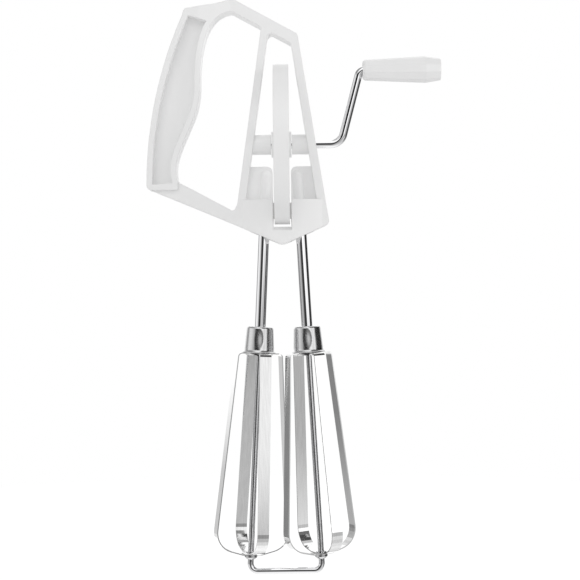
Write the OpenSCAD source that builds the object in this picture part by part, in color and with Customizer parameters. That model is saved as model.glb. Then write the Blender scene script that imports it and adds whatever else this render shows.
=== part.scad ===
// Hand-cranked rotary whisk: a one-piece plastic frame, a double-faced crown wheel on a bent
// crank, and two four-bladed beaters that turn in opposite directions on a U-shaped guide wire.
// Origin: lowest point of the guide wire, midway between the beaters. +Z up, +X to the crank.

/* [Guide wire and beater axes] */
// Diameter of the guide wire
wire_d = 3.2; // [2.6:0.1:3.6]
// Lean of each beater axis towards the middle, in degrees
splay = 2.94; // [2.6:0.02:3.2]
// Bend radius of the wire at its lower corners, on the centreline
wire_bend = 4; // [3:0.5:5]
// Plastic left over the end of the wire, inside its post
wire_cover = 3.5; // [2.5:0.1:6]
// How far the stop nibs stand out from the wire
nib_out = 0.6; // [0.4:0.1:0.8]
// Diameter of a stop nib
nib_d = 1.2; // [0.8:0.1:1.6]

/* [Frame] */
// Thickness of the legs and bars, front to back
frame_t = 13; // [11:0.5:16]
// Thickness of the hand grip, front to back
grip_t = 17; // [15:0.5:20]
// Thickness of the gear housing in the middle, front to back
housing_t = 21; // [20:0.5:24]
// Half of the width over which the housing's faces bulge out of the legs
bulge_half = 21.5; // [20:0.5:24]
// Thickness of the sunk webs in the grip and above the housing
web_t = 5; // [3:0.5:6]
// Width of the rim that stands round the grip's sunk panel
grip_rim = 3; // [2.4:0.1:3.6]
// Radius of the back of the grip
grip_bow = 225; // [200:1:260]
// Gap between the wheel and each side of its slot
slot_side = 0.85; // [0.6:0.05:1.2]
// Gap between the wheel and the floor of its slot
slot_gap = 1.6; // [1:0.1:2.5]
// Depth of the notch in front of the slot's floor
notch = 1.6; // [1:0.1:2.4]
// Width of the land between the two notches
notch_land = 15; // [12:0.5:17]
// Height of the web over the housing
web_h = 17.8; // [14:0.2:19]
// Radius of the web's corners beside the wheel
web_round = 3; // [2:0.5:4]
// Diameter of the posts that hold the wire ends
post_d = 7.6; // [7:0.1:8]
// Diameter of the bearing bosses of the crank
boss_d = 10.8; // [10:0.1:12]
// Wall of the housing left above the pinions
pocket_roof = 0.9; // [0.6:0.1:1.2]
// Room round a pinion in its pocket
pocket_room = 0.6; // [0.4:0.1:0.8]
// How far the bearings lie under the floor of the slot
bush_step = 0.6; // [0.4:0.1:1]
// How far the housing's lowest point lies under the floor of the slot
chin_drop = 9.7; // [9:0.1:12]
// Height of the housing's left corner over the floor of the slot
left_rise = 1.9; // [1:0.1:3]
// Height of the housing's right corner over the floor of the slot
right_rise = 1.5; // [1:0.1:3]
// Height of the lower bar's upper edge, where it leaves the housing, over that floor
bar_rise = 8.5; // [8:0.1:10]
// Distance of the housing's left corner from the middle plane
left_half = 26.4; // [25:0.1:28]
// Distance of the housing's right corner from the middle plane
right_half = 25.3; // [24:0.1:27]
// Rise of the left leg's foot over the lower bar
leg_foot = 4; // [2:0.5:6]
// Distance of the left leg's outer edge from the middle plane, above its foot
leg_back_low = 24; // [23:0.1:25]
// Distance of the left leg's outer edge from the middle plane, under the top bar
leg_back_top = 10.2; // [9.6:0.1:11]
// Distance of the left leg's inner edge from the middle plane, at the housing
cage_low_left = 19.4; // [18.4:0.1:20]
// Distance of the left leg's inner edge from the middle plane, under the top bar
cage_top_left = 7; // [6.6:0.1:7.4]
// Distance of the right leg's inner edge from the middle plane, at the housing
cage_low_right = 18.5; // [17.5:0.1:19.5]
// Distance of the right leg's inner edge from the middle plane, under the top bar
cage_top_right = 5.7; // [5.4:0.1:6.2]
// Size of the cut corner beside the left leg's top
cage_cut = 2; // [1:0.1:3]
// Height of the top bar, from its upper to its lower edge
bar_h = 6.9; // [6:0.1:8]
// How far the bearing bosses are rooted in the legs
boss_root = 1.5; // [1:0.1:2]
// How far the bearings stop short of the housing's underside
bush_inset = 0.7; // [0.4:0.1:1.2]
// Radius of the frame's outer corners
corner_r = 2.4; // [1.5:0.1:3]
// Radius at the housing's lowest point
chin_r = 6; // [3:0.5:8]

/* [Frame's head and grip] */
// How far the frame's highest point stands over the wheel
head_over = 34.9; // [32:0.1:40]
// Distance of the highest point from the middle plane
apex_back = 25.3; // [22:0.1:28]
// How far the upper corner of the grip lies under the highest point
head_fall = 5.2; // [3:0.1:8]
// Distance of that corner from the middle plane
head_back = 51.4; // [48:0.1:54]
// How far the head's upper edge sags between the two
crown_sag = 0.57; // [0:0.01:1]
// How far the corner over the wheel lies under the highest point
nose_fall = 19.1; // [15:0.1:21]
// Distance of the corner over the wheel from the middle plane
nose_out = 9.2; // [8.5:0.1:11]
// How far the grip's lower end lies over the floor of the slot
bar_climb = 20.3; // [17:0.1:23]
// How far over that end the back of the grip stands out most
bow_up = 0.8; // [0:0.1:10]
// Distance of the back of the grip from the middle plane at that height
grip_back = 72.4; // [70:0.1:75]
// How far the lower end of the finger side lies over the grip's lower end
finger_low_up = 4.2; // [3:0.1:7]
// Distance of that end from the middle plane
finger_low_back = 55.6; // [54:0.1:57]
// How far the middle of the finger side's slope lies over that end
finger_mid_up = 30.2; // [26:0.1:34]
// Distance of that middle from the middle plane
finger_mid_back = 50.4; // [49:0.1:52]
// How far the neck, where the forefinger lies, lies over that end
finger_neck_up = 55.8; // [50:0.1:62]
// Distance of the neck from the middle plane
finger_neck_back = 43.3; // [42:0.1:45]
// Height of the head over the hand opening
crest_h = 6.6; // [5:0.1:8]
// How far the top of the hand opening lies behind the highest point
crest_back = 1.2; // [0.5:0.1:3]
// How far the sunk panel's top lies under the highest point, on the finger side
panel_fall = 10.9; // [9:0.1:20]
// Rise of the panel's upper edge towards the back
panel_rise = 2; // [0:0.1:3]
// Distance from the middle plane at which the head begins to thin towards the bars
thin_from = 43.5; // [42:0.1:46]

/* [Crown wheel] */
// Height of the wheel's axis
wheel_z = 231.5; // [230:0.1:233]
// Outer radius of the wheel
wheel_r = 43; // [41:0.1:46]
// Width of the wheel's rim
wheel_w = 8.2; // [7.6:0.1:9]
// Thickness of the wall round the teeth
wheel_wall = 1.5; // [1.2:0.1:1.8]
// Number of teeth on each face
wheel_teeth = 72; // [72:12:72]
// Depth of the teeth
tooth_depth = 2; // [1.9:0.05:2.1]
// Width of the gap between teeth at the face
gap_top = 2.1; // [2.05:0.01:2.15]
// Width of the gap between teeth at its floor
gap_floor = 1.1; // [1:0.05:1.2]
// Inner radius of the ring of teeth
ring_in = 30.5; // [29:0.1:31.5]
// Thickness of the wheel's disc
disc_t = 3; // [2.5:0.1:3.5]
// Number of openings in the disc
wheel_openings = 6; // [4:1:8]
// Width of the spokes between the openings
spoke_w = 6; // [5:0.5:8]
// Diameter of the wheel's hub
hub_d = 14; // [13:0.5:15]
// Length of the wheel's hub
hub_len = 10.7; // [10.3:0.1:11]
// Width of the plain band between the hub and the openings
hub_band = 3.5; // [2:0.5:5]
// Width of the plain band between the openings and the ring of teeth
rim_band = 2.5; // [1.5:0.5:4]

/* [Crank] */
// Diameter of the crank rod
rod_d = 4.5; // [4.2:0.1:4.8]
// Distance from the wheel's axis to the knob's axis
crank_throw = 39.7; // [36:0.5:44]
// Where the rod turns up, from the middle plane
crank_x1 = 32; // [31:0.5:36]
// Where the rod turns out into the knob, from the middle plane
crank_x2 = 42.6; // [42:0.1:43.5]
// Bend radius of the first bend, on the centreline
crank_bend1 = 7; // [5.5:0.5:8]
// Bend radius of the second bend, on the centreline
crank_bend2 = 4.2; // [4:0.1:4.6]
// Depth of the rod's blind end in the left boss
rod_blind = 7.4; // [6:0.2:8]
// Width across the swaged wings that key the rod to the wheel
key_w = 7; // [6.4:0.1:8]
// Thickness of the wings
key_t = 1.2; // [1:0.1:1.6]
// Length of the wings
key_len = 4; // [3:0.5:5]

/* [Knob] */
// Gap between the rod's second bend and the knob
knob_gap = 1.6; // [1.4:0.1:3]
// Length of the knob without its cap
knob_len = 33.8; // [30:0.2:38]
// Radius of the knob at its inner end
knob_r1 = 5.6; // [5.4:0.1:6.4]
// Radius of the knob where the cap begins
knob_r2 = 7.2; // [6.8:0.1:8]
// Radius of the cap's outer end
knob_r3 = 5.9; // [5.4:0.1:6.6]
// Length of the cap outside the knob
cap_len = 8.2; // [6:0.2:10]
// Length of the cap's plug
plug_len = 2; // [1.4:0.2:2.4]
// Number of flats round the knob
knob_flats = 10; // [8:1:12]
// Radius of the counterbore under the cap
counterbore_r = 4.6; // [4.2:0.1:4.8]
// Length of the knob's rounded inner end
knob_lead = 1.2; // [0.8:0.1:2]
// How much the knob's inner end is drawn in
knob_draw = 0.9; // [0.5:0.1:1.5]
// Depth of the funnel at the mouth of the knob's bore
funnel_len = 3; // [2:0.1:4]
// How far the funnel's mouth stands out from the rod
funnel_out = 1.7; // [1:0.1:2]
// Depth of the counterbore
counterbore_len = 4; // [3.8:0.1:5]
// Thickness of the push nut
nut_t = 0.6; // [0.4:0.1:0.8]
// How much of the rod stands out of the push nut
rod_stub = 0.6; // [0.3:0.1:1]

/* [Pinions and tubes] */
// Number of teeth on a pinion
pinion_teeth = 12; // [12:1:12]
// Tip radius of a pinion
pinion_tip = 6.7; // [6.6:0.05:6.8]
// Root radius of a pinion
pinion_root = 4.6; // [4.4:0.1:4.8]
// Tooth width at the tip
tip_w = 0.7; // [0.6:0.05:0.75]
// Tooth width at the root
root_w = 1.9; // [1.8:0.05:2]
// How far the pinion's teeth stop short of the outer end of the wheel's
pinion_rise = 2.1; // [1:0.1:3]
// Diameter of the pinion's collar
pinion_collar_d = 10; // [9.4:0.1:10.4]
// Outer diameter of a beater tube
tube_d = 6; // [5.8:0.1:6.2]
// Room round the wire inside a tube
bore_room = 0.25; // [0.15:0.05:0.4]
// How far the pinion's upper end lies under the inner edge of the wheel's ring of teeth
pinion_drop = 0.5; // [0:0.1:1]
// How far the pinion's teeth reach past the wheel's face
mesh_depth = 1.368; // [1.3:0.002:1.4]
// Length of the chamfer at the tip of a pinion's tooth
tip_relief = 0.3; // [0.2:0.05:0.4]
// How far the pinion's upper end stands over the tube's
tube_stop = 1; // [0.5:0.1:2]
// Thickness of the flared lower end of the tube
flare_t = 0.5; // [0.3:0.1:0.8]
// How far that flared end stands out
flare_out = 0.5; // [0.3:0.1:0.8]

/* [Ferrules and blades] */
// Height of the underside of a ferrule, along the beater axis
ferrule_z = 119.5; // [116:0.5:122]
// Height of a ferrule
ferrule_h = 14.2; // [12:0.2:16]
// Diameter of a ferrule at the top
ferrule_d1 = 14.8; // [13:0.2:15.4]
// Diameter of a ferrule above its flange
ferrule_d2 = 16.6; // [16:0.2:17]
// Diameter of the ferrule's flange
flange_d = 18; // [17.4:0.2:19]
// Thickness of the flange
flange_t = 0.5; // [0.4:0.1:0.8]
// Radius of the ferrule's upper edge
ferrule_round = 1.4; // [0.8:0.1:2]
// Height of the crimp dimple in a ferrule
dimple_h = 9.6; // [8:0.2:10]
// Thickness of the collar under the blades' tabs
collar_t = 0.6; // [0.4:0.1:1]
// How far that collar stays inside the flange
collar_in = 1.6; // [1:0.1:2.4]
// Half of the width of the dimple's cutter
dimple_w = 2.3; // [2:0.1:2.6]
// Depth of the dimple
dimple_in = 1; // [0.6:0.1:1.2]
// Width of a blade strip
strip_w = 6.3; // [5.8:0.1:6.4]
// Thickness of a blade strip
strip_t = 0.6; // [0.5:0.05:0.7]
// Radius of the blades at the shoulder under the ferrule
shoulder_r = 12.2; // [11.6:0.1:12.6]
// Radius at which the blades would meet their lower stretch
belly_r = 20.8; // [20:0.1:21.2]
// Height at which the blades would meet their lower stretch
belly_z = 14.9; // [14.5:0.1:16]
// Radius of the blades' lower bend
belly_bend = 10.8; // [9:0.2:11]
// Height of the lowest strip's middle, along the beater axis
hub_z = 10.7; // [10.5:0.1:11.2]
// Half of the flat stretch at the blades' crossing
hub_flat = 4.6; // [4.5:0.1:5]
// Radius of the bend beside that stretch
hub_bend = 2.5; // [2:0.1:3]
// Radius of the bend at the shoulder
shoulder_bend = 2; // [1.5:0.1:3]
// Turn of the left beater at rest, in degrees
left_turn = 18.5; // [0:0.5:90]
// Outer diameter of an eyelet's barrel
eyelet_d = 4.4; // [4.2:0.1:4.6]
// Diameter of an eyelet's cup
cup_d = 6.9; // [6.4:0.1:7.4]
// Height of an eyelet's cup
cup_h = 2.2; // [1.8:0.1:2.6]
// Height of the cup's tapered foot
cup_foot = 1; // [0.6:0.1:1.4]
// How much the cup's foot is drawn in
cup_draw = 0.9; // [0.5:0.1:1.2]
// How far the eyelet's rolled lip stands out
lip_out = 0.7; // [0.4:0.1:1]
// Thickness of the eyelet's lip
lip_t = 0.4; // [0.3:0.1:0.6]

/* [Fits] */
// Running clearance on the radius
run = 0.1; // [0.05:0.01:0.15]
// End play of what turns
play = 0.3; // [0.25:0.05:0.35]

/* [Hidden] */
$fn = 48;

white = [0.93, 0.93, 0.94];
ivory = [0.88, 0.88, 0.88];
bright_steel = [0.74, 0.75, 0.77];
satin_steel = [0.66, 0.67, 0.69];

wire_r = wire_d / 2;
tube_r = tube_d / 2;
tube_bore = wire_r + bore_room;
rod_r = rod_d / 2;
knob_z = wheel_z + crank_throw;
knob_x = crank_x2 + knob_gap;
knob_end = knob_x + knob_len;

// Heights that follow from the wheel
slot_w = wheel_w + 2 * slot_side;
slot_floor = wheel_z - wheel_r - slot_gap;
bush_top = slot_floor - bush_step;
pinion_top = wheel_z - ring_in - pinion_drop;
pinion_face = wheel_r - wheel_wall - ring_in - pinion_drop - pinion_rise;
teeth_low = pinion_top - pinion_face;
pocket_top = pinion_top + play;
pocket_r = pinion_tip + pocket_room;
housing_top = pocket_top + pocket_roof;
web_top = housing_top + web_h;
wire_top = web_top - wire_cover;
under = slot_floor - chin_drop - pinion_face;
grip_low = slot_floor + bar_climb;
apex_z = wheel_z + wheel_r + head_over;
hand_top_back = apex_back + crest_back;

// Half of the distance between the beater axes where the pinions mesh, and at the foot
mesh_half = wheel_w / 2 + pinion_tip - mesh_depth;
foot_half = mesh_half + (pinion_top - pinion_face / 2) * sin(splay);
// The beaters pass each other half a blade apart
right_turn = 45 - left_turn;

boss_gap = hub_len / 2 + play;
tab_z = ferrule_z - strip_t / 2;
tube_low = tab_z - strip_t / 2 - collar_t - flare_t;
// A cut runs this far past the face that it opens
past = 1;
// A bend laps over its straights by this angle, and is this much fatter
bend_lap = 0.5;
bend_swell = 0.02;

// ---- plane geometry ----

function lerp(a, b, t) = a + (b - a) * t;

// A point on a cubic curve
function cubic(p, t) =
    p[0] * pow(1 - t, 3) + p[1] * 3 * t * pow(1 - t, 2)
    + p[2] * 3 * t * t * (1 - t) + p[3] * pow(t, 3);

function cubic_points(p, n, first = 0) = [for (i = [first:n]) cubic(p, i / n)];

// A curve between two points that leaves and arrives along two headings, in degrees;
// each reach is a share of the distance between the points
function swept(a, way_a, reach_a, b, way_b, reach_b, n, first = 0) =
    let (span = norm(b - a))
    cubic_points([a, a + along(way_a) * reach_a * span, b - along(way_b) * reach_b * span, b], n, first);

function heading(a, b) = atan2(b[1] - a[1], b[0] - a[0]);

// How far a path turns at b, in degrees, positive to the left
function turn_at(a, b, c) =
    let (d = heading(b, c) - heading(a, b)) d > 180 ? d - 360 : d < -180 ? d + 360 : d;

function along(angle) = [cos(angle), sin(angle)];

// Distance from a corner to where its round begins
function trim(a, b, c, r) = r * tan(abs(turn_at(a, b, c)) / 2);

// The points of one rounded corner
function corner_points(a, b, c, r, n = 6) =
    r == 0 ? [b] :
    let (
        turn = turn_at(a, b, c),
        side = turn > 0 ? 1 : -1,
        begin = b - along(heading(a, b)) * trim(a, b, c, r),
        centre = begin + along(heading(a, b) + side * 90) * r
    )
    [for (i = [0:n]) centre + along(heading(a, b) - side * 90 + turn * i / n) * r];

// A closed outline from corners given as [x, y, radius]
function rounded(p) = [
    for (i = [0:len(p) - 1])
        let (
            a = p[(i + len(p) - 1) % len(p)],
            b = p[i],
            c = p[(i + 1) % len(p)]
        )
        each corner_points([a[0], a[1]], [b[0], b[1]], [c[0], c[1]], b[2])
];

// An open path from corners given as [x, y, radius]
function bent(p, n = 8) = [
    for (i = [0:len(p) - 1])
        let (b = [p[i][0], p[i][1]])
        each (i == 0 || i == len(p) - 1) ? [b] :
            corner_points([p[i - 1][0], p[i - 1][1]], b, [p[i + 1][0], p[i + 1][1]], p[i][2], n)
];

// A path moved sideways, to the left of its direction
function shifted(p, by) = [
    for (i = [0:len(p) - 1])
        let (
            a = p[max(i - 1, 0)],
            b = p[min(i + 1, len(p) - 1)],
            bend = (i == 0 || i == len(p) - 1) ? 1 : cos(turn_at(a, p[i], b) / 2)
        )
        p[i] + along(heading(a, b) + 90) * by / bend
];

function flipped(p) = [for (i = [len(p) - 1:-1:0]) p[i]];

// The outline of a strip of thickness t along a path
function strip(p, t) = concat(shifted(p, t / 2), flipped(shifted(p, -t / 2)));

// ---- placing ----

// An upright plate of an outline drawn in X and Z, centred front to back
module plate(t) {
    rotate([90, 0, 0])
        linear_extrude(t, center = true)
            children();
}

// Puts what is drawn round the Z axis onto a beater's axis; side is -1 left, 1 right
module on_axis(side) {
    translate([side * foot_half, 0, 0])
        rotate([0, -side * splay, 0])
            children();
}

// Turns what is drawn round the Z axis to lie along X
module along_x(x, z) {
    translate([x, 0, z])
        rotate([0, 90, 0])
            children();
}

module ring(outer, inner, h) {
    difference() {
        cylinder(r = outer, h = h);
        translate([0, 0, -1])
            cylinder(r = inner, h = h + 2);
    }
}

// A round bar bent in the XZ plane, through corners given as [x, z, bend radius]
module bent_bar(p, r) {
    last = len(p) - 1;
    cut = [
        for (i = [0:last])
            (i == 0 || i == last) ? 0 : trim(p[i - 1], p[i], p[i + 1], p[i][2])
    ];
    rotate([90, 0, 0]) {
        for (i = [0:last - 1]) {
            way = heading(p[i], p[i + 1]);
            from = [p[i][0], p[i][1]] + along(way) * cut[i];
            to = [p[i + 1][0], p[i + 1][1]] - along(way) * cut[i + 1];
            translate([from[0], from[1], 0])
                rotate([0, 90, way])
                    cylinder(r = r, h = norm(to - from));
        }
        for (i = [1:last - 1]) {
            turn = turn_at(p[i - 1], p[i], p[i + 1]);
            side = turn > 0 ? 1 : -1;
            way = heading(p[i - 1], p[i]);
            begin = [p[i][0], p[i][1]] - along(way) * cut[i];
            centre = begin + along(way + side * 90) * p[i][2];
            translate([centre[0], centre[1], 0])
                rotate([0, 0, (side > 0 ? way - 90 : way + 90 + turn) - bend_lap])
                    rotate_extrude(angle = abs(turn) + 2 * bend_lap)
                        translate([p[i][2], 0])
                            circle(r = r + bend_swell);
        }
    }
}

// ---- frame outlines, in X and Z ----

grip_centre = [grip_bow - grip_back, grip_low + bow_up];
apex = [-apex_back, apex_z];
head = [-head_back, apex_z - head_fall];
nose = [nose_out, apex_z - nose_fall];
left_low = [-left_half, slot_floor + left_rise];
right_low = [right_half, slot_floor + right_rise];
chin = [0, slot_floor - chin_drop];
finger_low = [-finger_low_back, grip_low + finger_low_up];
finger_mid = [-finger_mid_back, grip_low + finger_mid_up];
finger_neck = [-finger_neck_back, grip_low + finger_neck_up];
finger_top = [-hand_top_back, apex_z - crest_h];
// Where the lower bar's underside meets the grip
bar_grip = [-finger_low_back, grip_low];

crown = lerp(head, apex, 0.65) - [0, crown_sag];
leg_low = [-leg_back_low, slot_floor + bar_rise + leg_foot];

// A point on the underside of the top bar
function under_bar(x) =
    [x, lerp(apex[1], nose[1], (x - apex[0]) / (nose[0] - apex[0])) - bar_h];

cage_left_top = [-cage_top_left, under_bar(cage_cut - cage_top_left)[1] - cage_cut];
cage_right_top = under_bar(cage_top_right);

// The inner edges of the two legs at a height
function left_leg(z) =
    lerp(-cage_low_left, cage_left_top[0], (z - housing_top) / (cage_left_top[1] - housing_top));
function right_leg(z) =
    lerp(cage_low_right, cage_right_top[0], (z - housing_top) / (cage_right_top[1] - housing_top));

// The back of the grip at a height, moved in by inset
function bow_x(z, inset = 0) =
    grip_centre[0] - sqrt(pow(grip_bow - inset, 2) - pow(z - grip_centre[1], 2));

function bow(low, high, inset = 0, n = 14) =
    [for (i = [0:n]) let (z = lerp(low, high, i / n)) [bow_x(z, inset), z]];
// The finger side of the grip, from the lower bar up to the apex
finger_side = concat(
    swept(finger_low, 107.35, 0.38, finger_mid, 66.8, 0.345, 8),
    swept(finger_mid, 67.7, 0.317, finger_neck, 89.5, 0.452, 7, 1),
    swept(finger_neck, 90, 0.44, finger_top, 8.13, 0.327, 12, 1)
);

// A point on the back of the grip
function on_bow(z) = [bow_x(z), z];

// The back of the grip with its two rounded ends, from the lower end up to the crown
grip_spine = concat(
    corner_points(bar_grip, on_bow(grip_low), on_bow(grip_low + 2 * corner_r), corner_r),
    bow(grip_low + 1.5 * corner_r, head[1] - 1.5 * corner_r),
    corner_points(on_bow(head[1] - 2 * corner_r), head, crown, corner_r)
);

frame_outline = concat(
    grip_spine,
    [crown],
    corner_points(crown, apex, nose, corner_r),
    corner_points(apex, nose, right_low, corner_r),
    corner_points(nose, right_low, chin, corner_r),
    corner_points(right_low, chin, left_low, chin_r),
    corner_points(chin, left_low, bar_grip, corner_r)
);

grip_plate = concat(grip_spine, [crown, lerp(crown, apex, 0.8)], flipped(finger_side), [bar_grip]);

hand_opening = concat(
    finger_side,
    rounded([
        [under_bar(apex[0])[0], under_bar(apex[0])[1], 0],
        [-leg_back_top, under_bar(-leg_back_top)[1], 1.6],
        [leg_low[0], leg_low[1], 0],
        [leg_low[0] - leg_foot / 2, leg_low[1] - leg_foot, 1.5],
        [-finger_low_back + 2 * leg_foot, grip_low, 0]
    ])
);

cage_opening = rounded([
    [-cage_low_left, housing_top, 0],
    [cage_left_top[0], cage_left_top[1], 3],
    [cage_left_top[0] + cage_cut, cage_left_top[1] + cage_cut, 2],
    [cage_right_top[0], cage_right_top[1], 1.2],
    [cage_low_right, housing_top, 0]
]);

panel_low = grip_low + grip_rim;
panel_high = apex_z - panel_fall;
grip_panel = concat(
    bow(panel_low, panel_high + panel_rise, grip_rim),
    flipped([for (p = shifted(finger_side, grip_rim)) if (p[1] > panel_low && p[1] < panel_high) p])
);

// The sunk web between a leg and the slot
web_left = rounded([
    [left_leg(housing_top) - past, housing_top - past, 0],
    [left_leg(web_top) - past, web_top, 0],
    [-slot_w / 2, web_top, web_round],
    [-slot_w / 2, housing_top - past, 0]
]);

web_right = rounded([
    [slot_w / 2, housing_top - past, 0],
    [slot_w / 2, web_top, web_round],
    [right_leg(web_top) + past, web_top, 0],
    [right_leg(housing_top) + past, housing_top - past, 0]
]);

// ---- frame ----

// The gear housing: its front and back bulge in one long arc between the legs
module housing() {
    sag = (housing_t - frame_t) / 2;
    bulge_r = (bulge_half * bulge_half + sag * sag) / (2 * sag);
    half = bulge_half + past;
    intersection() {
        plate(housing_t)
            polygon(frame_outline);
        translate([-half, -housing_t, under])
            cube([2 * half, 2 * housing_t, housing_top - under]);
        translate([0, bulge_r - housing_t / 2, under])
            cylinder(r = bulge_r, h = housing_top - under);
        translate([0, housing_t / 2 - bulge_r, under])
            cylinder(r = bulge_r, h = housing_top - under);
    }
}

module post(side) {
    high = web_h - post_d / 2 + play;
    on_axis(side)
        translate([0, 0, housing_top - past]) {
            cylinder(d = post_d, h = high);
            translate([0, 0, high])
                sphere(d = post_d);
        }
}

module bosses() {
    left_root = -left_leg(wheel_z) + boss_root;
    right_root = right_leg(wheel_z) + boss_root;
    along_x(-left_root, wheel_z)
        cylinder(d = boss_d, h = left_root - boss_gap);
    along_x(boss_gap, wheel_z)
        cylinder(d = boss_d, h = right_root - boss_gap);
}

module pinion_pocket(side) {
    on_axis(side) {
        translate([0, 0, under])
            cylinder(r = pocket_r, h = pocket_top - under);
        translate([0, 0, pocket_top - past])
            cylinder(r = wire_r, h = wire_top - pocket_top + past);
    }
}

module wheel_slot() {
    translate([-slot_w / 2, -housing_t, slot_floor])
        cube([slot_w, 2 * housing_t, web_top + past - slot_floor]);
    for (back = [-notch_land / 2 - housing_t, notch_land / 2])
        translate([-slot_w / 2, back, slot_floor - notch])
            cube([slot_w, housing_t, notch + past]);
}

module grip_panels() {
    for (side = [-1, 1])
        translate([0, side * (web_t + grip_t) / 2, 0])
            plate(grip_t)
                polygon(grip_panel);
}

// What is cut off where the grip's thickness falls to that of the bars
module head_thinning() {
    fall = atan2((grip_t - frame_t) / 2, thin_from - hand_top_back);
    for (side = [-1, 1])
        translate([-thin_from, side * grip_t / 2, grip_low])
            rotate([0, 0, -side * fall])
                translate([0, (side - 1) * grip_t / 2, 0])
                    cube([thin_from, grip_t, apex_z]);
}

module axle_holes() {
    along_x(-boss_gap - rod_blind - play, wheel_z)
        cylinder(r = rod_r + run, h = rod_blind + play + past);
    along_x(boss_gap - past, wheel_z)
        cylinder(r = rod_r + run, h = right_half);
}

module frame() {
    color(white)
        difference() {
            union() {
                plate(frame_t)
                    difference() {
                        polygon(frame_outline);
                        polygon(hand_opening);
                        polygon(cage_opening);
                    }
                difference() {
                    plate(grip_t)
                        polygon(grip_plate);
                    head_thinning();
                }
                housing();
                plate(web_t) {
                    polygon(web_left);
                    polygon(web_right);
                }
                post(-1);
                post(1);
                bosses();
            }
            wheel_slot();
            pinion_pocket(-1);
            pinion_pocket(1);
            axle_holes();
            grip_panels();
        }
}

// A bearing sleeve that closes the pocket from below, flush with the housing's underside
module bush(side) {
    color(ivory)
        difference() {
            intersection() {
                on_axis(side)
                    translate([0, 0, under])
                        cylinder(r = pocket_r, h = bush_top - under);
                plate(housing_t)
                    polygon([
                        left_low + [0, bush_inset],
                        chin + [0, bush_inset],
                        right_low + [0, bush_inset],
                        [right_low[0], housing_top],
                        [left_low[0], housing_top]
                    ]);
            }
            on_axis(side)
                translate([0, 0, under])
                    cylinder(r = tube_r + run, h = housing_top - under);
        }
}

module guide_wire() {
    low = wire_r;
    high_x = foot_half - wire_top * sin(splay);
    high_z = wire_top * cos(splay);
    low_x = foot_half - low * tan(splay);
    color(bright_steel) {
        bent_bar([
            [-high_x, high_z, 0],
            [-low_x, low, wire_bend],
            [low_x, low, wire_bend],
            [high_x, high_z, 0]
        ], wire_r);
        for (side = [-1, 1])
            on_axis(side)
                translate([0, 0, hub_z - strip_t / 2 - cup_h - play - nib_d / 2])
                    rotate([90, 0, 0])
                        cylinder(d = nib_d, h = wire_d + 2 * nib_out, center = true);
    }
}

// ---- wheel and crank ----

tooth_pitch = 360 / wheel_teeth;

// All the gaps between the teeth of one face; each is wider at the face than at its floor
module tooth_gaps(face) {
    top = gap_top / 2;
    low = gap_floor / 2;
    spread = (top - low) / tooth_depth;
    outer = wheel_w / 2;
    for (i = [0:wheel_teeth - 1])
        rotate([i * tooth_pitch, 0, 0])
            translate([0, 0, ring_in - past])
                linear_extrude(wheel_r - wheel_wall - ring_in + past)
                    polygon([
                        [face * (outer + past), -top - spread * past],
                        [face * (outer + past), top + spread * past],
                        [face * (outer - tooth_depth), low],
                        [face * (outer - tooth_depth), -low]
                    ]);
}

module disc_opening() {
    inner = hub_d / 2 + hub_band;
    outer = ring_in - rim_band;
    span = 360 / wheel_openings;
    half_in = asin(spoke_w / 2 / inner);
    half_out = asin(spoke_w / 2 / outer);
    polygon(concat(
        [for (i = [0:8]) along(lerp(half_out, span - half_out, i / 8)) * outer],
        [for (i = [4:-1:0]) along(lerp(half_in, span - half_in, i / 4)) * inner]
    ));
}

module drive_wheel() {
    color(ivory)
        translate([0, 0, wheel_z])
            difference() {
                rotate([0, 90, 0]) {
                    translate([0, 0, -wheel_w / 2])
                        ring(wheel_r, ring_in, wheel_w);
                    cylinder(r = ring_in + past, h = disc_t, center = true);
                    cylinder(d = hub_d, h = hub_len, center = true);
                }
                tooth_gaps(-1);
                tooth_gaps(1);
                rotate([0, 90, 0]) {
                    for (i = [0:wheel_openings - 1])
                        rotate([0, 0, i * 360 / wheel_openings])
                            linear_extrude(disc_t + past, center = true)
                                disc_opening();
                    cylinder(r = rod_r, h = hub_len + past, center = true);
                }
                translate([-key_len / 2, -key_w / 2, -key_t / 2])
                    cube([key_len, key_w, key_t]);
            }
}

module crank_rod() {
    color(bright_steel) {
        bent_bar([
            [-boss_gap - rod_blind, wheel_z, 0],
            [crank_x1, wheel_z, crank_bend1],
            [crank_x2, knob_z, crank_bend2],
            [knob_end - counterbore_len + play + nut_t + rod_stub, knob_z, 0]
        ], rod_r);
        translate([-key_len / 2, -key_w / 2, wheel_z - key_t / 2])
            cube([key_len, key_w, key_t]);
    }
}

module knob_push_nut() {
    color(satin_steel)
        along_x(knob_end - counterbore_len + play, knob_z)
            ring(counterbore_r - nut_t, rod_r, nut_t);
}

module crank_knob() {
    color(white)
        difference() {
            along_x(knob_x, knob_z) {
                cylinder(r1 = knob_r1 - knob_draw, r2 = knob_r1, h = knob_lead, $fn = knob_flats);
                translate([0, 0, knob_lead])
                    cylinder(r1 = knob_r1, r2 = knob_r2, h = knob_len - knob_lead, $fn = knob_flats);
            }
            along_x(knob_x - past, knob_z) {
                cylinder(r = rod_r + run, h = knob_len + 2 * past);
                translate([0, 0, knob_len + past - counterbore_len])
                    cylinder(r = counterbore_r, h = counterbore_len + past);
                cylinder(r1 = rod_r + funnel_out + past / 2, r2 = rod_r + run, h = funnel_len + past);
            }
        }
}

module knob_end_cap() {
    color(white)
        along_x(knob_end, knob_z) {
            translate([0, 0, -plug_len])
                cylinder(r = counterbore_r, h = plug_len);
            cylinder(r1 = knob_r2, r2 = knob_r3, h = cap_len, $fn = knob_flats);
        }
}

// ---- beaters ----

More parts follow.
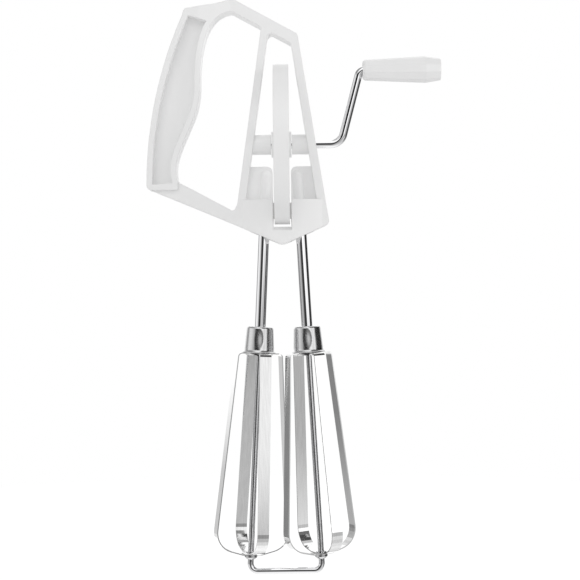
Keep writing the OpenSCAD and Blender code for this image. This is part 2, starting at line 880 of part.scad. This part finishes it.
module pinion(side) {
    collar_low = bush_top + play;
    color(ivory)
        on_axis(side)
            difference() {
                union() {
                    translate([0, 0, collar_low])
                        cylinder(d = pinion_collar_d, h = teeth_low - collar_low);
                    translate([0, 0, teeth_low])
                        cylinder(r = pinion_root, h = pinion_face);
                    for (i = [0:pinion_teeth - 1])
                        rotate([0, 0, i * 360 / pinion_teeth])
                            translate([0, 0, teeth_low])
                                linear_extrude(pinion_face)
                                    polygon([
                                        [pinion_root - past, -root_w / 2],
                                        [pinion_root, -root_w / 2],
                                        [pinion_tip - tip_relief, -tip_w / 2],
                                        [pinion_tip, -tip_w / 4],
                                        [pinion_tip, tip_w / 4],
                                        [pinion_tip - tip_relief, tip_w / 2],
                                        [pinion_root, root_w / 2],
                                        [pinion_root - past, root_w / 2]
                                    ]);
                }
                translate([0, 0, collar_low - past])
                    cylinder(r = tube_r, h = pinion_top - tube_stop - collar_low + past);
                translate([0, 0, collar_low])
                    cylinder(r = wire_r + run, h = pinion_top - collar_low + past);
            }
}

module tube(side) {
    color(bright_steel)
        on_axis(side)
            difference() {
                union() {
                    translate([0, 0, tube_low])
                        cylinder(r = tube_r, h = pinion_top - tube_stop - tube_low);
                    translate([0, 0, tube_low])
                        cylinder(r = tube_r + flare_out, h = flare_t);
                }
                translate([0, 0, tube_low - past])
                    cylinder(r = tube_bore, h = pinion_top - tube_low + past);
            }
}

module ferrule(side) {
    top = ferrule_d1 / 2;
    low = ferrule_d2 / 2;
    waist = [low, 3 * flange_t];
    color(bright_steel)
        on_axis(side)
            translate([0, 0, ferrule_z])
                difference() {
                    rotate_extrude()
                        polygon(concat(
                            [[tube_r, 0], [flange_d / 2, 0], [flange_d / 2, flange_t], waist],
                            corner_points(waist, [top, ferrule_h], [tube_r, ferrule_h], ferrule_round),
                            [[tube_r, ferrule_h]]
                        ));
                    for (i = [0:3])
                        rotate([0, 0, 90 * i])
                            translate([top + dimple_w - dimple_in, 0, (ferrule_h + flange_t) / 2])
                                rotate_extrude()
                                    polygon([
                                        for (a = [-90:15:90]) [dimple_w * cos(a), dimple_h / 2 * sin(a)]
                                    ]);
                }
}

module blade_collar(side) {
    color(satin_steel)
        on_axis(side)
            translate([0, 0, tab_z - strip_t / 2 - collar_t])
                ring(flange_d / 2 - collar_in, tube_r, collar_t);
}

// Two opposite blades in one strip; lift raises the crossing of the strip that lies on top
module blades(side, turn, lift) {
    half_path = bent([
        [hub_flat / 2, hub_z + lift, 0],
        [hub_flat + hub_bend / 3, hub_z + lift, hub_bend],
        [belly_r, belly_z, belly_bend],
        [shoulder_r, tab_z, shoulder_bend],
        [tube_r + strip_t / 2, tab_z, 0]
    ]);
    section = strip(half_path, strip_t);
    color(satin_steel)
        on_axis(side)
            rotate([0, 0, turn])
                difference() {
                    union() {
                        plate(strip_w)
                            polygon(section);
                        mirror([1, 0, 0])
                            plate(strip_w)
                                polygon(section);
                        translate([-hub_flat, -strip_w / 2, hub_z + lift - strip_t / 2])
                            cube([2 * hub_flat, strip_w, strip_t]);
                    }
                    translate([0, 0, hub_z - strip_t])
                        cylinder(d = eyelet_d, h = 4 * strip_t);
                }
}

module eyelet(side) {
    low = hub_z - strip_t / 2;
    high = hub_z + strip_t * 1.5;
    color(bright_steel)
        on_axis(side)
            difference() {
                union() {
                    translate([0, 0, low - cup_h + cup_foot])
                        cylinder(d = cup_d, h = cup_h - cup_foot);
                    translate([0, 0, low - cup_h])
                        cylinder(d1 = cup_d - 2 * cup_draw, d2 = cup_d, h = cup_foot);
                    translate([0, 0, low])
                        cylinder(d = eyelet_d, h = high - low);
                    translate([0, 0, high])
                        cylinder(d = eyelet_d + 2 * lip_out, h = lip_t);
                }
                translate([0, 0, low - cup_h - past])
                    cylinder(r = wire_r + 2 * run, h = high - low + cup_h + lip_t + 2 * past);
            }
}

frame();
guide_wire();
bush(-1);  // left_bush
bush(1);  // right_bush
drive_wheel();
crank_rod();
knob_push_nut();
crank_knob();
knob_end_cap();
pinion(-1);  // left_pinion
tube(-1);  // left_tube
ferrule(-1);  // left_ferrule
blade_collar(-1);  // left_blade_collar
blades(-1, left_turn, 0);  // left_outer_blades
blades(-1, left_turn + 90, strip_t);  // left_inner_blades
eyelet(-1);  // left_eyelet
pinion(1);  // right_pinion
tube(1);  // right_tube
ferrule(1);  // right_ferrule
blade_collar(1);  // right_blade_collar
blades(1, right_turn, 0);  // right_outer_blades
blades(1, right_turn + 90, strip_t);  // right_inner_blades
eyelet(1);  // right_eyelet
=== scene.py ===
import bpy
import bmesh
import math
from mathutils import Matrix, Vector


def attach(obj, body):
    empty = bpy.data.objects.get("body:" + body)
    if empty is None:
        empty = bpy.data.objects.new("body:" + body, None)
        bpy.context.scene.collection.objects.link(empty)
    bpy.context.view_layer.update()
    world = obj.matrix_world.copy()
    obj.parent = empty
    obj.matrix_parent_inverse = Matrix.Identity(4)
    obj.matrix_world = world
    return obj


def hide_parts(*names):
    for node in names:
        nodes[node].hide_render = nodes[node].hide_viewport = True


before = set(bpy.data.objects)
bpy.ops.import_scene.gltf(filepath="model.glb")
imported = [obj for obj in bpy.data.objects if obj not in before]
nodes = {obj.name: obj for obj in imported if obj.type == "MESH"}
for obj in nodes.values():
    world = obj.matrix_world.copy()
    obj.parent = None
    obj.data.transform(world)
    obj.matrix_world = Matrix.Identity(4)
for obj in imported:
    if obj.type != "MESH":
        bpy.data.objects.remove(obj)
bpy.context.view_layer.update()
print("frame loaded,", len(nodes), "nodes")


# ---- shader tools ----

class Signal:  # a shader socket that takes part in ordinary arithmetic
    def __init__(self, shader, socket):
        self.shader = shader
        self.socket = socket

    def maths(self, operation, first, second):
        return self.shader.node("ShaderNodeMath", {"operation": operation}, {0: first, 1: second})

    def __add__(self, other):
        return self.maths("ADD", self, other)

    def __radd__(self, other):
        return self.maths("ADD", other, self)

    def __sub__(self, other):
        return self.maths("SUBTRACT", self, other)

    def __rsub__(self, other):
        return self.maths("SUBTRACT", other, self)

    def __mul__(self, other):
        return self.maths("MULTIPLY", self, other)

    def __rmul__(self, other):
        return self.maths("MULTIPLY", other, self)

    def __truediv__(self, other):
        return self.maths("DIVIDE", self, other)


edgeRays = 6  # rays sent out to find a sharp edge nearby
noiseKinds = {  # detail and roughness
    "clouds": (4.0, 0.55), "grain": (2.0, 0.6), "lines": (3.0, 0.6), "rings": (3.0, 0.55),
}


class Shader:  # builds one node tree, of a material or of the world
    def __init__(self, owner):
        owner.use_nodes = True
        self.tree = owner.node_tree
        self.tree.nodes.clear()

    def node(self, kind, settings=None, sockets=None, output=0):
        made = self.tree.nodes.new(kind)
        for key, value in (settings or {}).items():
            if key == "stops":  # colour ramp stops, as (place, brightness)
                elements = made.color_ramp.elements
                while len(elements) < len(value):
                    elements.new(0.5)
                for element, (place, level) in zip(elements, value):
                    element.position = place
                    element.color = (level, level, level, 1)
            else:
                setattr(made, key, value)
        for key, value in (sockets or {}).items():
            if isinstance(value, Signal):
                self.tree.links.new(value.socket, made.inputs[key])
            else:
                made.inputs[key].default_value = value
        return Signal(self, made.outputs[output]) if made.outputs else None

    def ramp(self, factor, stops, blend="LINEAR"):
        made = self.node("ShaderNodeValToRGB", {"stops": stops}, {0: factor})
        made.socket.node.color_ramp.interpolation = blend
        return made

    def mix(self, share, low, high, blend="MIX"):  # share 0 gives low, 1 gives high
        settings = {"data_type": "RGBA", "blend_type": blend}
        return self.node("ShaderNodeMix", settings, {0: share, 6: low, 7: high}, 2)

    def tint(self, share, low, high):  # from one plain colour to the other
        return self.mix(share, (*low, 1), (*high, 1))

    def scaled(self, vector, factors):
        return self.node("ShaderNodeVectorMath", {"operation": "MULTIPLY"}, {0: vector, 1: factors})

    def noise(self, kind, stretch):  # stretch is in waves to the metre along each axis
        detail, roughness = noiseKinds[kind]
        here = self.scaled(self.node("ShaderNodeTexCoord", output=3), stretch)
        sockets = {0: here, "Scale": 1.0, "Detail": detail, "Roughness": roughness}
        return self.node("ShaderNodeTexNoise", {}, sockets)

    def rays(self, *kinds):  # 1 for rays of that kind, otherwise 0
        outputs = self.node("ShaderNodeLightPath").socket.node.outputs
        return [Signal(self, outputs["Is " + kind + " Ray"]) for kind in kinds]

    def bump(self, height, distance, edge=0.0):  # edge is the radius that sharp edges seem rounded to
        sockets = {"Height": height, "Distance": distance}
        if edge:
            sockets["Normal"] = self.node("ShaderNodeBevel", {"samples": edgeRays}, {"Radius": edge})
        return self.node("ShaderNodeBump", {}, sockets)

    def surface(self, **sockets):
        named = {name.replace("_", " "): value for name, value in sockets.items()}
        self.finish(self.node("ShaderNodeBsdfPrincipled", {}, named))

    def finish(self, skin, kind="Material"):
        self.node("ShaderNodeOutput" + kind, {}, {0: skin})


def newMaterial(name):
    material = bpy.data.materials.new(name)
    return material, Shader(material)


def newPiece(name, shape, material):  # puts a finished shape into the scene
    mesh = bpy.data.meshes.new(name)
    shape.to_mesh(mesh)
    shape.free()
    mesh.materials.append(material)
    piece = bpy.data.objects.new(name, mesh)
    bpy.context.scene.collection.objects.link(piece)
    return piece


def dress(material, *names):
    for name in names:
        materials = nodes[name].data.materials
        materials.clear()
        materials.append(material)


# ---- finishes ----

# the glow strength in each plastic finish is painted light: an even glow that lifts shaded creases and gaps,
# not light passing through
frameFinish = {
    "light": (0.76, 0.76, 0.76), "dark": (0.715, 0.715, 0.715), "roughness": 0.28, "roughnessSwing": 0.12,
    "cloudSize": 0.035, "cloudStretch": 0.6, "grainSize": 0.0005, "grainDepth": 0.00002,
    "paintedGlow": 0.11, "edge": 0.0006,
}

wheelFinish = {
    "light": (0.75, 0.75, 0.75), "dark": (0.71, 0.71, 0.71), "roughness": 0.33, "roughnessSwing": 0.1,
    "cloudSize": 0.025, "cloudStretch": 0.6, "grainSize": 0.0005, "grainDepth": 0.000015,
    "paintedGlow": 0.11, "edge": 0.0006,
}

knobFinish = {
    "light": (0.76, 0.76, 0.76), "dark": (0.70, 0.70, 0.70), "roughness": 0.27, "roughnessSwing": 0.1,
    "cloudSize": 0.012, "cloudStretch": 0.6, "grainSize": 0.0004, "grainDepth": 0.000015,
    "paintedGlow": 0.09, "edge": 0.0002,
}

gearFinish = {
    "light": (0.66, 0.66, 0.65), "dark": (0.60, 0.60, 0.59), "roughness": 0.4, "roughnessSwing": 0.1,
    "cloudSize": 0.006, "cloudStretch": 0.6, "grainSize": 0.0003, "grainDepth": 0.00001,
    "paintedGlow": 0.15, "edge": 0.0003,
}


def mouldedPlastic(name, look):  # faint flow clouds and a fine mould grain
    material, shader = newMaterial(name)
    across, upright = 1 / look["cloudSize"], look["cloudStretch"] / look["cloudSize"]
    clouds = shader.noise("clouds", (across, across, upright))
    fine = shader.noise("grain", (1 / look["grainSize"],) * 3)
    shader.surface(
        Base_Color=shader.tint(clouds, look["dark"], look["light"]),
        Roughness=clouds * look["roughnessSwing"] + look["roughness"],
        Normal=shader.bump(fine, look["grainDepth"], look["edge"]),
        # painted glow: a faint white emission on plastic that is no lamp, lightening its shaded creases and
        # gaps
        Emission_Color=(1, 1, 1, 1),
        Emission_Strength=look["paintedGlow"],
    )
    return material


wireFinish = {
    "light": (0.92, 0.92, 0.93), "dark": (0.80, 0.80, 0.81), "roughness": 0.02, "roughnessSwing": 0.03,
    "lineWidth": 0.00025, "lineLength": 0.06, "lineDepth": 0.0000006,
}

stripFinish = {
    "light": (1.0, 1.0, 1.0), "dark": (0.70, 0.70, 0.70), "roughness": 0.04, "roughnessSwing": 0.08,
    "lineWidth": 0.0007, "lineLength": 0.03, "lineDepth": 0.0000006,
}


def drawnSteel(name, look, along="Z"):  # polished bar with faint drawing lines along it
    material, shader = newMaterial(name)
    across, length = 1 / look["lineWidth"], 1 / look["lineLength"]
    stretch = (across, across, length) if along == "Z" else (length, across, across)
    lines = shader.noise("lines", stretch)
    shader.surface(
        Base_Color=shader.tint(lines, look["dark"], look["light"]),
        Metallic=1.0,
        Roughness=lines * look["roughnessSwing"] + look["roughness"],
        Normal=shader.bump(lines, look["lineDepth"]),
    )
    return material


ferruleFinish = {
    "light": (0.80, 0.80, 0.80), "dark": (0.64, 0.64, 0.65), "roughness": 0.17, "roughnessSwing": 0.1,
    "ringWidth": 0.125, "ringHeight": 0.0003, "ringDepth": 0.000002,
}


def spunSteel(name, look):  # drawn cups, polished round their axis
    material, shader = newMaterial(name)
    across = 1 / look["ringWidth"]
    rings = shader.noise("rings", (across, across, 1 / look["ringHeight"]))
    shader.surface(
        Base_Color=shader.tint(rings, look["dark"], look["light"]),
        Metallic=1.0,
        Roughness=rings * look["roughnessSwing"] + look["roughness"],
        Normal=shader.bump(rings, look["ringDepth"]),
    )
    return material


print("finishes")
whitePlastic = mouldedPlastic("whitePlastic", frameFinish)
wheelPlastic = mouldedPlastic("wheelPlastic", wheelFinish)
knobPlastic = mouldedPlastic("knobPlastic", knobFinish)
gearPlastic = mouldedPlastic("gearPlastic", gearFinish)
uprightSteel = drawnSteel("uprightSteel", wireFinish)
crankSteel = drawnSteel("crankSteel", wireFinish, "X")
cupSteel = spunSteel("cupSteel", ferruleFinish)
stripSteel = drawnSteel("stripSteel", stripFinish)

dress(whitePlastic, "frame")
dress(knobPlastic, "crank_knob", "knob_end_cap")
dress(wheelPlastic, "drive_wheel")
dress(gearPlastic, "left_pinion", "right_pinion", "left_bush", "right_bush")
dress(uprightSteel, "guide_wire", "left_tube", "right_tube")
dress(crankSteel, "crank_rod", "knob_push_nut")
dress(cupSteel, "left_eyelet", "right_eyelet")
dress(
    stripSteel, "left_outer_blades", "left_inner_blades", "left_blade_collar",
    "right_outer_blades", "right_inner_blades", "right_blade_collar",
)


# ---- ferrules ----

ferruleShape = {  # lengths in millimetres, heights from the underside
    "underside": 119.5, "foot": 19.5002, "splay": 2.94, "inside": 3.02, "insideLip": 0.1, "landing": 0.5,
    "flange": 8.95, "flangeEdge": 0.5, "burr": 0.12, "chamfer": 0.15, "flare": 1.9, "flareSteps": 5,
    "low": 7.95, "top": 7.25, "height": 14.15, "round": 1.3, "roundSteps": 6, "turns": 120, "wallRows": 36,
    "dimples": 2, "dimpleWide": 2.6, "dimpleTall": 5.2, "dimpleDeep": 0.32, "dimpleAt": 7.7, "askew": 0.45,
    "dimpleRing": 0.4,  # no dimple where the radius is this much under the top's
}


def ferruleProfile(shape):  # (radius, height) from the flange's inner edge up over the shoulder to the tube
    brim, edge = shape["flange"] - shape["chamfer"], shape["flangeEdge"]
    points = [
        (shape["inside"], 0.0), (shape["flange"] - shape["burr"], 0.0), (shape["flange"], shape["chamfer"]),
        (shape["flange"], edge - shape["burr"]), (brim, edge),
    ]
    for step in range(1, shape["flareSteps"] + 1):
        turn = math.radians(90 * step / shape["flareSteps"])
        radius = shape["low"] + (brim - shape["low"]) * (1 - math.sin(turn))
        points.append((radius, edge + shape["flare"] * (1 - math.cos(turn))))
    start, end = points[-1][1], shape["height"] - shape["round"]
    for row in range(1, shape["wallRows"] + 1):
        rise = row / shape["wallRows"]
        points.append((shape["low"] + (shape["top"] - shape["low"]) * rise, start + (end - start) * rise))
    for step in range(1, shape["roundSteps"] + 1):
        turn = math.radians(90 * step / shape["roundSteps"])
        radius = shape["top"] - shape["round"] * (1 - math.cos(turn))
        points.append((radius, end + shape["round"] * math.sin(turn)))
    points.append((shape["inside"] + shape["landing"], shape["height"]))
    points.append((shape["inside"], shape["height"] - shape["insideLip"]))
    return points


def dimpleDepth(shape, angle, height):  # the first dimple faces the front
    step = 2 * math.pi / shape["dimples"]
    off = (angle + math.pi / 2 + step / 2) % step - step / 2
    wide = off * shape["low"] / shape["dimpleWide"]
    tall = (height - shape["dimpleAt"]) / shape["dimpleTall"]
    inside = 1 - wide * wide - tall * tall
    return shape["dimpleDeep"] * (1 + shape["askew"] * wide) * inside if inside > 0 else 0.0


def ferruleRing(mesh, shape, radius, height):
    ring = []
    for turn in range(shape["turns"]):
        angle = 2 * math.pi * turn / shape["turns"]
        reach = radius
        if radius > shape["top"] - shape["dimpleRing"]:
            reach -= dimpleDepth(shape, angle, height)
        ring.append(mesh.verts.new((reach * math.cos(angle), reach * math.sin(angle), height)))
    return ring


def buildFerrule(side, name, body):
    shape = ferruleShape
    mesh = bmesh.new()
    rings = [ferruleRing(mesh, shape, radius, height) for radius, height in ferruleProfile(shape)]
    for lower, upper in zip(rings, rings[1:] + rings[:1]):
        for turn in range(shape["turns"]):
            after = (turn + 1) % shape["turns"]
            mesh.faces.new((lower[turn], lower[after], upper[after], upper[turn])).smooth = True
    lean = Matrix.Rotation(math.radians(-side * shape["splay"]), 4, "Y")
    foot = Matrix.Translation((side * shape["foot"], 0, 0))
    lift = Matrix.Translation((0, 0, shape["underside"]))
    mesh.transform(Matrix.Scale(0.001, 4) @ foot @ lean @ lift)
    bmesh.ops.recalc_face_normals(mesh, faces=mesh.faces)
    cup = newPiece(name + "Cup", mesh, cupSteel)
    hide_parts(name)
    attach(cup, body)


print("ferrules")
buildFerrule(-1, "left_ferrule", "left_beater")
buildFerrule(1, "right_ferrule", "right_beater")


# ---- studio ----

# ramps of (place, brightness); round the horizon place 0 is straight behind and 0.5 straight in front,
# in height 0 is straight down, 0.5 the horizon and 1 straight up
surroundings = {
    "gleam": 1.3,
    "around": [  # what polished metal sees along the horizon
        (0.0, 0.95), (0.10, 0.9), (0.145, 0.35), (0.20, 0.28), (0.245, 0.78), (0.30, 0.75), (0.36, 0.5),
        (0.385, 0.3), (0.405, 0.0), (0.505, 0.0), (0.53, 0.95), (0.565, 1.0), (0.595, 0.76), (0.62, 0.76),
        (0.645, 1.0), (0.665, 0.9), (0.685, 0.0), (0.86, 0.0), (0.895, 0.6), (1.0, 1.0),
    ],
    "low": [  # a little under it
        (0.0, 0.95), (0.10, 0.95), (0.145, 0.32), (0.20, 0.28), (0.245, 0.78), (0.30, 0.75), (0.36, 0.5),
        (0.385, 0.3), (0.405, 0.03), (0.50, 0.03), (0.54, 0.38), (0.61, 0.38), (0.645, 0.66), (0.67, 0.6),
        (0.70, 0.03), (0.84, 0.02), (0.88, 0.6), (1.0, 1.0),
    ],
    "high": [  # well over it
        (0.0, 0.9), (0.10, 0.3), (0.30, 0.2), (0.42, 0.9), (0.54, 0.9), (0.58, 0.06), (0.80, 0.06),
        (0.90, 0.9), (1.0, 0.9),
    ],
    # the share, by height, of the low ramp, of the high ramp, and of all three against plain white
    "lowShare": [(0.0, 1.0), (0.42, 1.0), (0.49, 0.0), (1.0, 0.0)],
    "highShare": [(0.0, 0.0), (0.68, 0.0), (0.77, 1.0), (1.0, 1.0)],
    "patternShare": [(0.0, 0.0), (0.14, 0.0), (0.30, 0.9), (0.66, 1.0), (0.94, 1.0), (1.0, 0.6)],
    "level": [  # how bright the result is, by height
        (0.0, 0.9), (0.06, 0.75), (0.14, 0.55), (0.22, 0.6), (0.30, 1.0), (0.375, 0.95), (0.40, 0.55),
        (0.48, 0.55), (0.51, 1.0), (1.0, 1.0),
    ],
    "fill": [(0.0, 0.75), (0.5, 0.84), (0.72, 0.7), (1.0, 0.48)],  # the soft light on everything else
}


def buildWorld():
    look = surroundings
    white = (1, 1, 1, 1)
    world = bpy.data.worlds.new("studioWorld")
    bpy.context.scene.world = world
    shader = Shader(world)
    view = shader.node("ShaderNodeTexCoord")
    sides = shader.node("ShaderNodeSeparateXYZ", {}, {0: view}).socket.node.outputs
    x, y, z = (Signal(shader, side) for side in sides)
    angle = shader.node("ShaderNodeMath", {"operation": "ARCTAN2"}, {0: x, 1: y * -1})
    turn = angle / (2 * math.pi) + 0.5
    height = z * 0.5 + 0.5
    around, low, high = (shader.ramp(turn, look[band], "EASE") for band in ("around", "low", "high"))
    pattern = shader.mix(shader.ramp(height, look["lowShare"]), around, low)
    pattern = shader.mix(shader.ramp(height, look["highShare"], "EASE"), pattern, high)
    pattern = shader.mix(shader.ramp(height, look["patternShare"], "EASE"), white, pattern)
    seen = shader.mix(1.0, pattern, shader.ramp(height, look["level"]), "MULTIPLY")
    seen = shader.scaled(seen, (look["gleam"],) * 3)
    camera, glossy, glass = shader.rays("Camera", "Glossy", "Transmission")
    colour = shader.mix(glossy, shader.ramp(height, look["fill"]), seen)
    colour = shader.mix(camera + glass, colour, white)
    shader.finish(shader.node("ShaderNodeBackground", {}, {0: colour, 1: 1.0}), "World")


floorLook = {
    "radius": 0.45, "corners": 96, "drop": 0.0004, "tone": (1, 1, 1, 1), "shadowShare": 0.2, "glow": 1.12,
}


def buildFloor():  # white to the camera but for a faint shadow, and not seen in the metal
    look = floorLook
    material, shader = newMaterial("paleFloor")
    paper = shader.node("ShaderNodeBsdfDiffuse", {}, {0: look["tone"]})
    white = shader.node("ShaderNodeEmission", {}, {0: look["tone"], 1: look["glow"]})
    camera, glossy = shader.rays("Camera", "Glossy")
    lit = shader.node("ShaderNodeMixShader", {}, {0: camera * (1 - look["shadowShare"]), 1: paper, 2: white})
    clear = shader.node("ShaderNodeBsdfTransparent")
    shader.finish(shader.node("ShaderNodeMixShader", {}, {0: glossy, 1: lit, 2: clear}))
    shape = bmesh.new()
    bmesh.ops.create_circle(shape, cap_ends=True, segments=look["corners"], radius=look["radius"])
    floor = newPiece("floor", shape, material)
    floor.location.z = -look["drop"]


lamps = {
    "keyLight": {"place": (-0.35, -1.1, 1.1), "size": 0.9, "power": 3.6},
    "sideLight": {"place": (1.2, -0.5, 0.5), "size": 0.8, "power": 3.2},
    "backLight": {"place": (0.3, 1.2, 0.8), "size": 0.9, "power": 1.6},
    "aim": (0, 0, 0.15),
}


def areaLight(name):
    look = lamps[name]
    lamp = bpy.data.lights.new(name, "AREA")
    lamp.shape, lamp.size, lamp.energy = "DISK", look["size"], look["power"]
    holder = bpy.data.objects.new(name, lamp)
    holder.location = look["place"]
    aim = Vector(lamps["aim"]) - Vector(look["place"])
    holder.rotation_euler = aim.to_track_quat("-Z", "Y").to_euler()
    holder.visible_glossy = False
    bpy.context.scene.collection.objects.link(holder)


cameraLook = {  # span is the height that the picture takes in at the object, roll is in degrees
    "distance": 0.85, "centre": (0.0037, 0.0, 0.153), "span": 0.3132, "sensor": 36.0, "roll": -0.65,
    "near": 0.01, "far": 20,
}


def buildCamera():
    look = cameraLook
    data = bpy.data.cameras.new("camera")
    data.sensor_width = look["sensor"]
    data.lens = look["sensor"] * look["distance"] / look["span"]
    data.clip_start, data.clip_end = look["near"], look["far"]
    eye = bpy.data.objects.new("camera", data)
    eye.location = Vector(look["centre"]) - Vector((0, look["distance"], 0))
    level = Matrix.Rotation(math.radians(90), 3, "X")
    eye.rotation_euler = (level @ Matrix.Rotation(math.radians(look["roll"]), 3, "Z")).to_euler()
    bpy.context.scene.collection.objects.link(eye)
    bpy.context.scene.camera = eye


print("studio")
buildCamera()
buildWorld()
buildFloor()
areaLight("keyLight")
areaLight("sideLight")
areaLight("backLight")
bpy.context.scene.view_settings.view_transform = "Standard"
